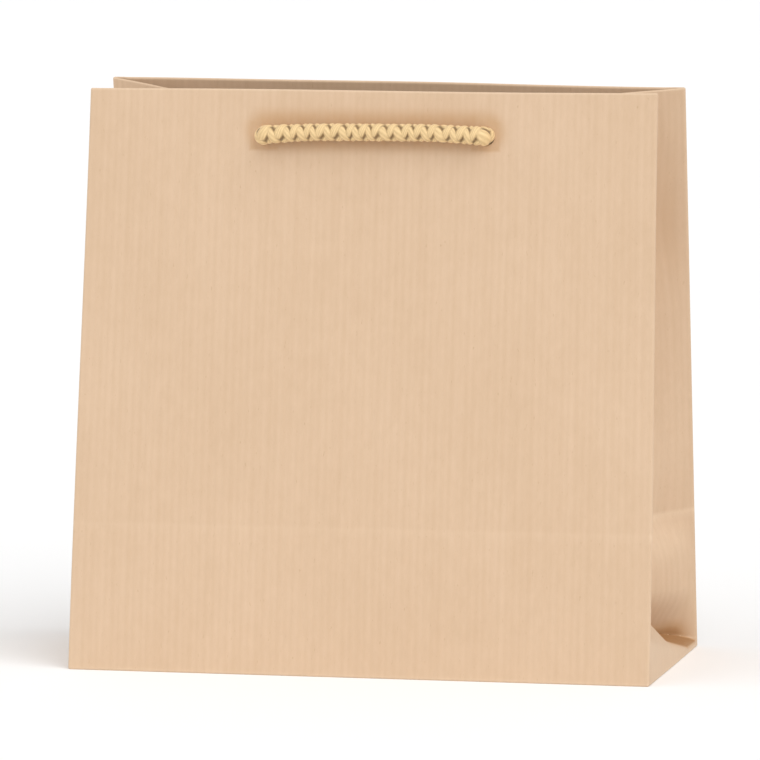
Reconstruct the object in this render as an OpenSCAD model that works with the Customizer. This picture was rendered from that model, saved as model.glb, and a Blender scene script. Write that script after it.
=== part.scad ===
// Gift bag of ribbed kraft paper, standing open on its base.
// The body is one folded sheet: a front and a back wall, side gussets that fold inwards, and a base of glued
// flaps. The top is turned in over a card strip, and each wall carries a handle of knotted cord that passes
// through two punched holes and hangs down inside to a knot at each end.
// Millimetres, +Z up, +Y from the front wall to the back wall. Origin: centre of the footprint, on the floor.

/* [Bag] */
// Width of the front and back walls
bag_w = 220; // [200:5:260]
// Depth of the base, front to back
base_d = 102; // [96:2:112]
// Height of a wall, measured along the paper
wall_h = 216; // [204:2:240]
// Depth of the mouth, between the outer faces at the top edge
mouth_d = 40; // [36:2:56]
// Thickness of the paper
paper_t = 0.35; // [0.3:0.05:0.45]
// How far above half the base depth the level gusset crease lies
crease_rise = 3; // [0:1:8]

/* [Turned top] */
// Depth of the hem that is turned in around the mouth
hem_h = 40; // [34:1:48]
// Height of the card strip inside the hem
card_h = 34; // [30:1:34]
// Thickness of the card strip
card_t = 0.8; // [0.5:0.1:0.9]
// Bare margin between a card strip or hem and the corner of its wall
card_margin = 6; // [5.5:0.5:9]

/* [Handles] */
// Distance between the two holes of a wall
hole_spacing = 84; // [70:2:100]
// How far both holes of a wall lie to the right of its middle
hole_shift = 2; // [-3:0.5:3]
// How far the hole centres lie below the top edge
hole_drop = 16; // [14:1:17]
// Thickness of the cord
cord_d = 6.8; // [6:0.2:7]
// Room between the cord and the edge of its hole, across the hole
hole_room = 0.6; // [0.4:0.2:1]
// Widest part of the knot at each end of a cord
knot_d = 13; // [11:0.5:13]

/* [Base] */
// Thickness of the loose card that stiffens the base
board_t = 1.2; // [0.8:0.2:1.6]
// Gap between that card and the walls
board_gap = 1.5; // [1.5:0.1:3]
// Gap between that card and the side gussets
board_end_gap = 2.6; // [2.6:0.1:5]
// Width over which the two outer base flaps are glued together
flap_overlap = 22; // [16:2:30]

/* [Hidden] */
$fn = 48;

LEFT = -1;
RIGHT = 1;
FRONT = -1;
BACK = 1;
kraft = "#E3C29F";
kraft_inside = "#D8B690";
card_grey = "#B9AFA0";
cord_gold = "#D9B67E";

half_w = bag_w / 2;
half_d = base_d / 2;
// The walls lean inwards from the base to the mouth
lean = asin((half_d - mouth_d / 2) / wall_h);
// The walls and gussets start just above the stacked base flaps, and each fold keeps a small clearance
fold_gap = 0.15;
fold_z = 3 * paper_t + fold_gap;
// The gusset slabs are measured along X, so that neighbouring ones share their edges exactly
gusset_t = 0.5;
gusset_hem_t = 0.5;
crease_v = half_d + crease_rise;
hem_v = wall_h - hem_h;
strip_steps = 6;
hem_steps = 2;

hole_v = wall_h - hole_drop;
hole_d = cord_d + hole_room;
hole_reach = 10;
card_w = bag_w - 2 * card_margin;
inner_face = 2 * paper_t + card_t;

seam_w = 12;
seam_margin = 6;
seam_low_v = 4;
flap_taper = 14;
side_flap_l = 46;

// Route of one half of a handle, from the middle of the bar to where the cord hangs free inside.
// Each point is [distance from the hole towards the middle, distance inwards from the outer face,
// height above the hole]. The middle of the bar and the hole are at half the hole spacing from each other.
END_ROUTE = [
    [34, -3.9, 1.0], [20, -3.9, 0.9], [9, -3.9, 0.4], [4, -3.7, 0.1], [1.4, -2.9, 0], [0.2, -1.0, 0],
    [0, 1.0, 0], [0, 3.6, -0.4], [0, 6.0, -2.2], [0, 7.4, -5], [0, 7.0, -9]
];
// Straight stretch that hangs down inside before the tail takes over
stub_l = 14;
// Length of a tail, from that stretch to its knot
tail_l = 96;
// A little sway, so that a tail hangs like cord and not like a rod: [share of the length, sideways, forward]
TAIL_SWAY = [[0, 0, 0], [0.2, 0.3, 0], [0.4, 0.9, 0.2], [0.6, 1.2, 0.5], [0.8, 1.0, 0.8], [1, 0.6, 1]];
tail_gap = 0.1;
cord_sides = 10;
knot_h = 15;
knot_neck_d = 7.2;
knot_step = 15; // degrees between the points of its outline
cord_end_l = 8;
cord_end_bite = 1; // how far it starts inside the knot

// ---- Places on a wall ----

// A point on a wall, from its place along X, its distance inwards from the outer face and its height up the wall
function on_wall(side, x, inwards, up) = [
    x,
    side * (half_d - up * sin(lean) - inwards * cos(lean)),
    up * cos(lean) - inwards * sin(lean)
];

function reversed(list) = [for (i = [len(list) - 1:-1:0]) list[i]];
function last_of(list) = list[len(list) - 1];

// Puts a shape that is drawn in the wall's own plane (x, inwards, up) onto the front or the back wall
module on_side(side) {
    mirror([0, side == BACK ? 1 : 0, 0])
        translate([0, -half_d, 0])
            rotate([-lean, 0, 0])
                children();
}

// ---- Gussets ----

// Where a gusset leaves its wall, just inside the wall's inner face
function corner_point(up) = on_wall(FRONT, half_w, paper_t + fold_gap, up);

// The centre crease at the same height up the paper: one half gusset is half the base depth wide
function crease_point(up) =
    let (corner = corner_point(up), away = -corner.y)
    corner + [-sqrt(half_d ^ 2 - (away / cos(lean)) ^ 2), away, -away * tan(lean)];

// The lowest point of a gusset's corner
function foot_point() = corner_point(fold_z + fold_gap);

// Turns a point of the right front gusset into its twin on any of the four halves
function to_quarter(across, side, p) = [across * p.x, side == BACK ? -p.y : p.y, p.z];

// Triangles of a strip whose loop of points runs up one side and down the other
function strip_faces(steps) = [
    for (i = [0:steps - 1], face = [[i, i + 1, 2 * steps - i], [i, 2 * steps - i, 2 * steps + 1 - i]]) face
];

// Paper between a loop of points and the same loop moved along X. across and side turn the whole sheet
module paper(loop, faces, start, thickness, across, side) {
    n = len(loop);
    outer = [for (p = loop) to_quarter(across, side, p - [start, 0, 0])];
    inner = [for (p = loop) to_quarter(across, side, p - [start + thickness, 0, 0])];
    turned = across * side > 0;
    skin = concat(
        faces,
        [for (face = faces) [face[2] + n, face[1] + n, face[0] + n]],
        [for (i = [0:n - 1]) [(i + 1) % n, i, i + n, (i + 1) % n + n]]
    );
    polyhedron(
        points = concat(outer, inner),
        faces = [for (face = skin) turned ? [for (k = [len(face) - 1:-1:0]) face[k]] : face]
    );
}

// Heights up the paper at which a gusset's strips bend: below the hem, and along it
function hem_heights() = [for (i = [0:hem_steps]) hem_v + hem_h * i / hem_steps];
function strip_heights() = concat(
    [for (i = [0:strip_steps - 1]) crease_v + (hem_v - crease_v) * i / strip_steps],
    hem_heights()
);

// A half gusset through the given heights: a gently warped strip from the wall's corner to the centre crease
module gusset_strip(across, side, heights, start, thickness) {
    loop = concat(
        [for (v = heights) corner_point(v)],
        [for (v = reversed(heights)) crease_point(v)]
    );
    paper(loop, strip_faces(len(heights) - 1), start, thickness, across, side);
}

module upper_gusset(across, side) {
    color(kraft)
        gusset_strip(across, side, strip_heights(), 0, gusset_t);
}

module gusset_hem(across, side) {
    color(kraft_inside)
        gusset_strip(across, side, hem_heights(), gusset_t, gusset_hem_t);
}

// The triangle between the wall, the level crease and the slanting crease to the foot
module corner_gusset(across, side) {
    color(kraft)
        paper([foot_point(), corner_point(crease_v), crease_point(crease_v)], [[0, 1, 2]], 0, gusset_t, across, side);
}

// The triangle that stands on the side edge of the base, its tip pushed inwards
module lower_gusset(across) {
    foot = foot_point();
    color(kraft)
        paper([foot, crease_point(crease_v), [foot.x, -foot.y, foot.z]], [[0, 1, 2]], 0, gusset_t, across, FRONT);
}

// ---- Walls ----

module handle_holes() {
    for (end = [LEFT, RIGHT])
        translate([hole_shift + end * hole_spacing / 2, -hole_reach / 2, hole_v])
            rotate([-90, 0, 0])
                cylinder(d = hole_d, h = hole_reach);
}

module wall_panel(side) {
    color(kraft)
        on_side(side)
            difference() {
                translate([-half_w, 0, fold_z])
                    cube([bag_w, paper_t, wall_h - paper_t - fold_z]);
                handle_holes();
            }
}

// The top edge folded over the card, and the hem that hangs down behind it
module wall_hem(side) {
    color(kraft_inside)
        on_side(side)
            difference() {
                union() {
                    translate([-half_w, 0, wall_h - paper_t])
                        cube([bag_w, paper_t, paper_t]);
                    translate([-card_w / 2, 0, wall_h - paper_t])
                        cube([card_w, inner_face, paper_t]);
                    translate([-card_w / 2, paper_t + card_t, hem_v])
                        cube([card_w, paper_t, hem_h]);
                }
                handle_holes();
            }
}

module wall_card(side) {
    color(card_grey)
        on_side(side)
            difference() {
                translate([-card_w / 2, paper_t, wall_h - paper_t - card_h])
                    cube([card_w, card_t, card_h]);
                handle_holes();
            }
}

// The strip that glues the two ends of the sheet together, behind the back wall's left edge
module seam_flap() {
    color(kraft_inside)
        on_side(BACK)
            translate([-half_w + seam_margin, paper_t, seam_low_v])
                cube([seam_w, paper_t, hem_v - fold_gap - seam_low_v]);
}

// ---- Base ----

module base_board() {
    color(card_grey)
        translate([-half_w + board_end_gap, -half_d + board_gap, 3 * paper_t])
            cube([bag_w - 2 * board_end_gap, base_d - 2 * board_gap, board_t]);
}

// A flap's outline: it narrows from its fold at y = 0 to its free edge at y = length
module flap_outline(width, length, taper) {
    polygon([[-width / 2, 0], [width / 2, 0], [width / 2 - taper, length], [taper - width / 2, length]]);
}

module base_back_flap() {
    color(kraft)
        translate([0, half_d, 0])
            rotate([0, 0, 180])
                linear_extrude(paper_t)
                    flap_outline(bag_w, half_d + flap_overlap / 2, flap_taper);
}

// Lies on the floor beside the back flap, then steps up over its edge
module base_front_flap() {
    step_y = half_d - flap_overlap / 2 - fold_gap;
    color(kraft)
        translate([0, -half_d, 0])
            intersection() {
                linear_extrude(2 * paper_t)
                    flap_outline(bag_w, half_d + flap_overlap / 2, flap_taper);
                union() {
                    translate([-half_w, 0, 0])
                        cube([bag_w, step_y, paper_t]);
                    translate([-half_w, step_y - 2 * paper_t, paper_t])
                        cube([bag_w, base_d, paper_t]);
                    translate([-half_w, step_y - 2 * paper_t, 0])
                        cube([bag_w, 2 * paper_t, 2 * paper_t]);
                }
            }
}

module base_side_flap(across) {
    color(kraft_inside)
        translate([across * half_w, 0, 2 * paper_t])
            rotate([0, 0, across * 90])
                linear_extrude(paper_t)
                    flap_outline(base_d, side_flap_l, flap_taper);
}

// ---- Cord ----

function unit(a) = a / norm(a);
function along(path, i) = unit(path[min(i + 1, len(path) - 1)] - path[max(i - 1, 0)]);
function squared_to(a, direction) = unit(a - (a * direction) * direction);
// One direction across the path at each point, carried along so that the tube doesn't twist
function across_path(path, first) = [
    for (i = 0, a = squared_to(first, along(path, 0)); i < len(path);
        i = i + 1, a = i < len(path) ? squared_to(a, along(path, i)) : a) a
];

module tube(path, d, first) {
    n = cord_sides;
    last = len(path) - 1;
    sideways = across_path(path, first);
    rings = [
        for (i = [0:last], k = [0:n - 1])
            path[i] + d / 2 * (cos(360 * k / n) * sideways[i] + sin(360 * k / n) * cross(along(path, i), sideways[i]))
    ];
    polyhedron(
        points = rings,
        faces = concat(
            [[for (k = [0:n - 1]) k]],
            [for (i = [0:last - 1], k = [0:n - 1])
                [i * n + k, (i + 1) * n + k, (i + 1) * n + (k + 1) % n, i * n + (k + 1) % n]],
            [[for (k = [n - 1:-1:0]) last * n + k]]
        )
    );
}

function hole_point(side, end, p) = on_wall(side, hole_shift + end * (hole_spacing / 2 - p.x), p.y, hole_v + p.z);

// Where a cord starts to hang free, and where its knot begins
function stub_top(side, end) = hole_point(side, end, last_of(END_ROUTE));
function tail_top(side, end) = stub_top(side, end) - [0, 0, stub_l];
function half_route(side, end) = concat(
    [tail_top(side, end), stub_top(side, end) - [0, 0, stub_l / 2]],
    [for (i = [len(END_ROUTE) - 1:-1:0]) hole_point(side, end, END_ROUTE[i])]
);
function tail_route(side, end) = [
    for (s = TAIL_SWAY)
        tail_top(side, end) + [-end * s[1], -side * s[2], -tail_gap - s[0] * (tail_l - tail_gap)]
];

module handle_cord(side) {
    color(cord_gold)
        tube(concat(half_route(side, LEFT), reversed(half_route(side, RIGHT))), cord_d, [1, 0, 0]);
}

module tail(side, end) {
    color(cord_gold)
        tube(tail_route(side, end), cord_d, [1, 0, 0]);
}

// An overhand knot, round and closed, with the cut end of the cord below it
module knot(side, end) {
    neck = knot_neck_d / 2;
    bulge = knot_d / 2 - neck;
    color(cord_gold)
        translate(last_of(tail_route(side, end)) - [0, 0, knot_h]) {
            rotate_extrude()
                polygon(concat(
                    [[0, 0]],
                    [for (a = [0:knot_step:180]) [neck + bulge * sin(a), knot_h * (1 - cos(a)) / 2]],
                    [[0, knot_h]]
                ));
            translate([0, 0, -cord_end_l])
                cylinder(d = cord_d, h = cord_end_l + cord_end_bite);
        }
}

base_board();
base_front_flap();
base_back_flap();
base_side_flap(LEFT);  // base_left_flap
base_side_flap(RIGHT);  // base_right_flap
lower_gusset(LEFT);  // left_lower_gusset
lower_gusset(RIGHT);  // right_lower_gusset
corner_gusset(LEFT, FRONT);  // left_front_corner_gusset
corner_gusset(LEFT, BACK);  // left_back_corner_gusset
corner_gusset(RIGHT, FRONT);  // right_front_corner_gusset
corner_gusset(RIGHT, BACK);  // right_back_corner_gusset
upper_gusset(LEFT, FRONT);  // left_front_gusset
upper_gusset(LEFT, BACK);  // left_back_gusset
upper_gusset(RIGHT, FRONT);  // right_front_gusset
upper_gusset(RIGHT, BACK);  // right_back_gusset
gusset_hem(LEFT, FRONT);  // left_front_gusset_hem
gusset_hem(LEFT, BACK);  // left_back_gusset_hem
gusset_hem(RIGHT, FRONT);  // right_front_gusset_hem
gusset_hem(RIGHT, BACK);  // right_back_gusset_hem
wall_panel(FRONT);  // front_panel
wall_hem(FRONT);  // front_hem
wall_card(FRONT);  // front_card
wall_panel(BACK);  // back_panel
wall_hem(BACK);  // back_hem
wall_card(BACK);  // back_card
seam_flap();  // back_seam_flap
handle_cord(FRONT);  // front_handle_cord
tail(FRONT, LEFT);  // front_left_tail
tail(FRONT, RIGHT);  // front_right_tail
knot(FRONT, LEFT);  // front_left_knot
knot(FRONT, RIGHT);  // front_right_knot
handle_cord(BACK);  // back_handle_cord
tail(BACK, LEFT);  // back_left_tail
tail(BACK, RIGHT);  // back_right_tail
knot(BACK, LEFT);  // back_left_knot
knot(BACK, RIGHT);  // back_right_knot
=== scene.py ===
"""Gift bag of ribbed kraft paper with knotted cord handles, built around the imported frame. Metres, +Z up."""
import math

import bpy
import numpy as np
from mathutils import Matrix, Vector


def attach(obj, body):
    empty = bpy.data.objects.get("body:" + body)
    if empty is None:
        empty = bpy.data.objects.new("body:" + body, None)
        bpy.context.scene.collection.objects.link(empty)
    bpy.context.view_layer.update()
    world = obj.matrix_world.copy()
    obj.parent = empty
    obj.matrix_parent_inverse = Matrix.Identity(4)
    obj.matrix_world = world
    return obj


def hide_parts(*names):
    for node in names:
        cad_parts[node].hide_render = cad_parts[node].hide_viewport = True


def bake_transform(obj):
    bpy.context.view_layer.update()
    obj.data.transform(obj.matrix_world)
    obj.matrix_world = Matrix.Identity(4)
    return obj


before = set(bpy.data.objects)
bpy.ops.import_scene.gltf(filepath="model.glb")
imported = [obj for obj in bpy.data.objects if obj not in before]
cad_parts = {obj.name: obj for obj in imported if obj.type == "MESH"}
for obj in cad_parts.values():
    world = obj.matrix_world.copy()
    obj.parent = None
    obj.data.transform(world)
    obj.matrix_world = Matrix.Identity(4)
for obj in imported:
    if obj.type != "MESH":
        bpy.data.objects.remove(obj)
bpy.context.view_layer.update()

MM = 0.001

# ---- The bag's measurements, as in the CAD (millimetres). A height named V is measured up the paper ----
HALF_W = 110.0
HALF_D = 51.0
WALL_H = 216.0
HALF_MOUTH = 20.0
LEAN = math.asin((HALF_D - HALF_MOUTH) / WALL_H)
SIN, COS = math.sin(LEAN), math.cos(LEAN)
PAPER = 0.35            # thickness
CARD = 0.8              # thickness
CARD_HALF_W = 104.0
HEM_V = 176.0           # lower edge of the hem
CREASE_V = 54.0         # level crease of the gussets
HOLE_V = 200.0
HOLE_X = 42.0           # from the middle between a wall's two holes
HOLE_SHIFT = 2.0        # that middle lies a little to the right
HOLE_R = 3.45           # less than the CAD's, because the paper closes on the cord
RIB = 2.77              # from one rib of the paper to the next
FRONT, BACK = -1, 1

CORD_D = 6.8
STUB = 14.0             # straight cord below the bend behind a hole
TAIL = 96.0             # from there to the knot
TAIL_GAP = 0.1          # between the stub and the tail
KNOT_H = 15.0


# ---- Camera ----
def add_camera():
    yaw, pitch, roll, away = math.radians(13.43), math.radians(5.74), math.radians(-0.37), 2.0
    target = Vector((-0.0018, 0.0, 0.1051))
    ahead = Vector((-math.sin(yaw) * math.cos(pitch), math.cos(yaw) * math.cos(pitch), -math.sin(pitch)))
    right = Vector((math.cos(yaw), math.sin(yaw), 0.0))
    up = right.cross(ahead)
    right = math.cos(roll) * right + math.sin(roll) * up
    up = right.cross(ahead)
    data = bpy.data.cameras.new("camera")
    data.sensor_width = 36.0
    data.lens = 252.5
    data.clip_end = 60.0
    camera = bpy.data.objects.new("camera", data)
    turn = Matrix((right, up, -ahead)).transposed().to_4x4()
    camera.matrix_world = Matrix.Translation(target - ahead * away) @ turn
    bpy.context.scene.collection.objects.link(camera)
    bpy.context.scene.camera = camera


add_camera()


# ---- Mesh building ----
def add_mesh(name, points, faces, materials, attributes, sharp, material_of=None):
    """A smooth mesh object from points in millimetres, with sharp edges from that many degrees."""
    mesh = bpy.data.meshes.new(name)
    mesh.from_pydata((np.asarray(points) * MM).tolist(), [], [list(f) for f in faces])
    for m in materials:
        mesh.materials.append(m)
    mesh.polygons.foreach_set("use_smooth", [True] * len(mesh.polygons))
    if material_of is not None:
        mesh.polygons.foreach_set("material_index", list(material_of))
    for key, values in attributes.items():
        values = np.asarray(values, np.float32)
        if values.ndim == 1:
            mesh.attributes.new(key, "FLOAT", "POINT").data.foreach_set("value", values)
        else:
            mesh.attributes.new(key, "FLOAT_VECTOR", "POINT").data.foreach_set("vector", values.ravel())
    mesh.set_sharp_from_angle(angle=math.radians(sharp))
    mesh.validate()
    mesh.update()
    ob = bpy.data.objects.new(name, mesh)
    bpy.context.scene.collection.objects.link(ob)
    return ob


def smoothstep(x):
    x = np.clip(x, 0.0, 1.0)
    return x * x * (3 - 2 * x)


def unit(v):
    return v / np.maximum(np.linalg.norm(v, axis=-1, keepdims=True), 1e-12)


def hump(x, middle, width):
    """1 at the middle, falling off smoothly on both sides."""
    return np.exp(-((x - middle) / width) ** 2)


# ---- Materials ----
def node_material(name):
    m = bpy.data.materials.new(name)
    m.use_nodes = True
    nodes = m.node_tree.nodes
    return m, nodes, m.node_tree.links, nodes["Principled BSDF"]


def add_node(nodes, kind, **sockets):
    node = nodes.new(kind)
    for key, value in sockets.items():
        node.inputs[key].default_value = value
    return node


def math_node(nodes, links, operation, a, b=None, c=None, clamp=False):
    node = nodes.new("ShaderNodeMath")
    node.operation = operation
    node.use_clamp = clamp
    for i, value in enumerate((a, b, c)):
        if value is None:
            continue
        if isinstance(value, (int, float)):
            node.inputs[i].default_value = value
        else:
            links.new(value, node.inputs[i])
    return node.outputs[0]


def mix_colour(nodes, links, factor, a, b):
    node = nodes.new("ShaderNodeMix")
    node.data_type = "RGBA"
    for socket, value in ((node.inputs[0], factor), (node.inputs[6], a), (node.inputs[7], b)):
        if isinstance(value, (int, float)):
            socket.default_value = value
        elif isinstance(value, tuple):
            socket.default_value = (*value, 1.0)
        else:
            links.new(value, socket)
    return node.outputs[2]


def noise_node(nodes, links, vector, scale, detail, roughness=0.55):
    node = add_node(nodes, "ShaderNodeTexNoise", Scale=scale, Detail=detail, Roughness=roughness)
    links.new(vector, node.inputs["Vector"])
    return node.outputs["Fac"]


def scaled(nodes, links, vector, x, y, z):
    node = nodes.new("ShaderNodeVectorMath")
    node.operation = "MULTIPLY"
    node.inputs[1].default_value = (x, y, z)
    links.new(vector, node.inputs[0])
    return node.outputs[0]


def between(nodes, links, value, low, high, most=1.0):
    """0 up to low, rising to most at high."""
    node = add_node(nodes, "ShaderNodeMapRange", **{"From Min": low, "From Max": high, "To Max": most})
    links.new(value, node.inputs["Value"])
    return node.outputs[0]


def mesh_value(nodes, name):
    node = nodes.new("ShaderNodeAttribute")
    node.attribute_name = name
    return node


def add_bump(nodes, links, shader, height, strength, distance):
    bump = add_node(nodes, "ShaderNodeBump", Strength=strength, Distance=distance)
    links.new(height, bump.inputs["Height"])
    links.new(bump.outputs[0], shader.inputs["Normal"])


# A paler tone for rubbed wear and for painted highlight
RUB_AND_HIGHLIGHT_TONE = (0.90, 0.72, 0.53)
# Painted shade tones: browner, and the deepest shade
PAINTED_SHADE_TONE = (0.52, 0.30, 0.14)
PAINTED_DEEP_SHADE_TONE = (0.38, 0.20, 0.085)


def kraft_material(name, light, dark, fleck, rib_depth, roughness, gloss):
    """Machine-glazed kraft paper. The paper attribute holds metres across, up and layer on the flat sheet.
    One attribute says how far the paper is paler, from rubbing and from painted highlight, and the other how
    far it is browner from painted shade, darker still above 1."""
    m, nodes, links, shader = node_material(name)
    paper = mesh_value(nodes, "paper").outputs["Vector"]
    split = nodes.new("ShaderNodeSeparateXYZ")
    links.new(paper, split.inputs[0])
    across = split.outputs[0]

    clouds = noise_node(nodes, links, scaled(nodes, links, paper, 1.0, 0.7, 1.0), 22.0, 4.0)
    mottle = noise_node(nodes, links, scaled(nodes, links, paper, 1.0, 0.55, 1.0), 260.0, 4.0, 0.6)
    fibres = noise_node(nodes, links, scaled(nodes, links, paper, 2600.0, 330.0, 900.0), 1.0, 3.0, 0.7)
    flecks = noise_node(nodes, links, scaled(nodes, links, paper, 900.0, 240.0, 900.0), 1.0, 2.0, 0.8)
    streak = noise_node(nodes, links, scaled(nodes, links, paper, 340.0, 9.0, 100.0), 1.0, 2.0, 0.5)

    # Ribs run up the sheet. Each is a soft round ridge, a little uneven in strength
    wander = math_node(nodes, links, "MULTIPLY", math_node(nodes, links, "SUBTRACT", streak, 0.5), 0.9)
    turn = math_node(nodes, links, "MULTIPLY", across, 2 * math.pi / (RIB * MM))
    wave = math_node(nodes, links, "SINE", math_node(nodes, links, "ADD", turn, wander))
    ridge = math_node(nodes, links, "MULTIPLY_ADD", wave, 0.5, 0.5)
    strength = math_node(nodes, links, "MULTIPLY_ADD", clouds, 1.1, 0.35)
    ribs = math_node(nodes, links, "MULTIPLY", ridge, strength)

    tone = math_node(nodes, links, "MULTIPLY", clouds, 0.55)
    for pattern, share in ((mottle, 0.45), (fibres, 0.30), (streak, 0.35), (ribs, -0.10)):
        tone = math_node(nodes, links, "MULTIPLY_ADD", pattern, share, tone)
    colour = mix_colour(nodes, links, between(nodes, links, tone, 0.35, 1.05), dark, light)
    colour = mix_colour(nodes, links, between(nodes, links, flecks, 0.66, 0.80, 0.5), colour, fleck)
    # Folds and cut edges are rubbed paler, most where the fibres stand out. The same mix paints highlight on
    # the gussets' lit faces
    rub_and_highlight = math_node(nodes, links, "MULTIPLY", mesh_value(nodes, "wear").outputs["Fac"],
                    math_node(nodes, links, "MULTIPLY_ADD", fibres, 0.9, 0.25), clamp=True)
    colour = mix_colour(nodes, links, rub_and_highlight, colour, RUB_AND_HIGHLIGHT_TONE)
    # Painted shade: round the handles and in the gussets' deep folds the paper is browner, where shadow falls
    painted_shade = mesh_value(nodes, "painted_shade").outputs["Fac"]
    shade_amount = math_node(nodes, links, "MULTIPLY", painted_shade,
                      math_node(nodes, links, "MULTIPLY_ADD", mottle, 0.6, 0.26), clamp=True)
    colour = mix_colour(nodes, links, shade_amount, colour, PAINTED_SHADE_TONE)
    deepest_shade = math_node(nodes, links, "SUBTRACT", painted_shade, 1.0, clamp=True)
    colour = mix_colour(nodes, links, deepest_shade, colour, PAINTED_DEEP_SHADE_TONE)
    links.new(colour, shader.inputs["Base Color"])

    height = math_node(nodes, links, "MULTIPLY", ribs, rib_depth)
    height = math_node(nodes, links, "MULTIPLY_ADD", fibres, 0.22, height)
    height = math_node(nodes, links, "MULTIPLY_ADD", mottle, 0.35, height)
    add_bump(nodes, links, shader, height, 0.55, 0.12 * MM)
    links.new(math_node(nodes, links, "MULTIPLY_ADD", mottle, 0.18, roughness), shader.inputs["Roughness"])
    shader.inputs["Specular IOR Level"].default_value = gloss
    return m


def card_material(name):
    """Grey recycled board: felted fibres, dark and light flecks, a fuzzy cut edge."""
    m, nodes, links, shader = node_material(name)
    place = nodes.new("ShaderNodeTexCoord").outputs["Object"]
    felt = noise_node(nodes, links, scaled(nodes, links, place, 700.0, 1500.0, 1500.0), 1.0, 4.0, 0.7)
    cloud = noise_node(nodes, links, place, 45.0, 3.0)
    fleck = noise_node(nodes, links, scaled(nodes, links, place, 900.0, 1900.0, 1900.0), 1.0, 1.0, 0.5)
    tone = math_node(nodes, links, "MULTIPLY_ADD", cloud, 0.5, math_node(nodes, links, "MULTIPLY", felt, 0.5))
    colour = mix_colour(nodes, links, tone, (0.21, 0.195, 0.17), (0.44, 0.42, 0.385))
    spots = between(nodes, links, fleck, 0.64, 0.72, 0.7)
    colour = mix_colour(nodes, links, spots, colour, (0.10, 0.09, 0.08))
    links.new(colour, shader.inputs["Base Color"])
    add_bump(nodes, links, shader, felt, 0.6, 0.1 * MM)
    links.new(math_node(nodes, links, "MULTIPLY_ADD", felt, 0.15, 0.8), shader.inputs["Roughness"])
    return m


def cord_material(name):
    """Soft braided yarn. strand holds (across, along, number) on each strand, groove is 1 in the gaps."""
    m, nodes, links, shader = node_material(name)
    strand = mesh_value(nodes, "strand").outputs["Vector"]
    split = nodes.new("ShaderNodeSeparateXYZ")
    links.new(strand, split.inputs[0])
    fine = noise_node(nodes, links, scaled(nodes, links, strand, 9.0, 900.0, 3.7), 1.0, 3.0, 0.6)
    # The yarns of a strand run slantwise along it
    slant = math_node(nodes, links, "MULTIPLY", split.outputs[1], 2600.0)
    yarn = math_node(nodes, links, "MULTIPLY_ADD", split.outputs[0], 15.0, slant)
    yarn = math_node(nodes, links, "SINE", yarn)
    yarn = math_node(nodes, links, "MULTIPLY_ADD", yarn, 0.5, 0.5)
    tone = math_node(nodes, links, "MULTIPLY_ADD", fine, 0.8, math_node(nodes, links, "MULTIPLY", yarn, 0.35))
    colour = mix_colour(nodes, links, tone, (0.55, 0.37, 0.17), (0.97, 0.71, 0.37))
    # Painted shade: the colour darkens in the braid's grooves
    depth = between(nodes, links, mesh_value(nodes, "groove").outputs["Fac"], 0.50, 1.0)
    colour = mix_colour(nodes, links, depth, colour, (0.27, 0.16, 0.06))
    links.new(colour, shader.inputs["Base Color"])
    height = math_node(nodes, links, "MULTIPLY", yarn, 0.5)
    height = math_node(nodes, links, "MULTIPLY_ADD", fine, 0.6, height)
    add_bump(nodes, links, shader, height, 0.7, 0.18 * MM)
    shader.inputs["Roughness"].default_value = 0.62
    shader.inputs["Sheen Weight"].default_value = 0.25
    shader.inputs["Sheen Roughness"].default_value = 0.4
    return m


KRAFT = kraft_material("kraft paper", light=(0.70, 0.505, 0.345), dark=(0.60, 0.415, 0.262),
                       fleck=(0.44, 0.27, 0.14), rib_depth=0.6, roughness=0.50, gloss=0.35)
KRAFT_IN = kraft_material("kraft paper inside", light=(0.67, 0.475, 0.31), dark=(0.56, 0.375, 0.23),
                          fleck=(0.40, 0.24, 0.12), rib_depth=0.4, roughness=0.72, gloss=0.2)
BOARD = card_material("grey board")
CORD = cord_material("knotted cord")


# ---- Cords ----
# From a hole towards the middle, inwards, and above the hole centre: the cord's way in at one end of a handle
END_ROUTE = [(34, -3.6, 1.0), (20, -3.6, 0.9), (9, -3.6, 0.4), (4, -3.5, 0.1), (1.4, -2.9, 0), (0.2, -1.0, 0),
             (0, 1.0, 0), (0, 3.6, -0.4), (0, 6.0, -2.2), (0, 7.4, -5), (0, 7.0, -9)]
# How the hanging length sways: share of its length, towards the bag's side, inwards
TAIL_SWAY = [(0, 0, 0), (0.2, 0.3, 0), (0.4, 0.9, 0.2), (0.6, 1.2, 0.5), (0.8, 1.0, 0.8), (1, 0.6, 1)]


def on_wall(side, x, inwards, up):
    """A point on a wall: up along the paper, inwards from the outer face."""
    return np.array([x, side * (HALF_D - up * SIN - inwards * COS), up * COS - inwards * SIN])


def hole_point(side, end, p):
    return on_wall(side, HOLE_SHIFT + end * (HOLE_X - p[0]), p[1], HOLE_V + p[2])


def stub_top(side, end):
    return hole_point(side, end, END_ROUTE[-1])


def half_route(side, end):
    """From the lower end of the hanging stub, up, out through the hole and towards the handle's middle."""
    top = stub_top(side, end)
    stub = [top - [0, 0, STUB], top - [0, 0, STUB / 2]]
    return stub + [hole_point(side, end, p) for p in reversed(END_ROUTE)]


def tail_route(side, end):
    low = stub_top(side, end) - [0, 0, STUB]
    return [low + [-end * s[1], -side * s[2], -TAIL_GAP - s[0] * (TAIL - TAIL_GAP)] for s in TAIL_SWAY]


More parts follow.
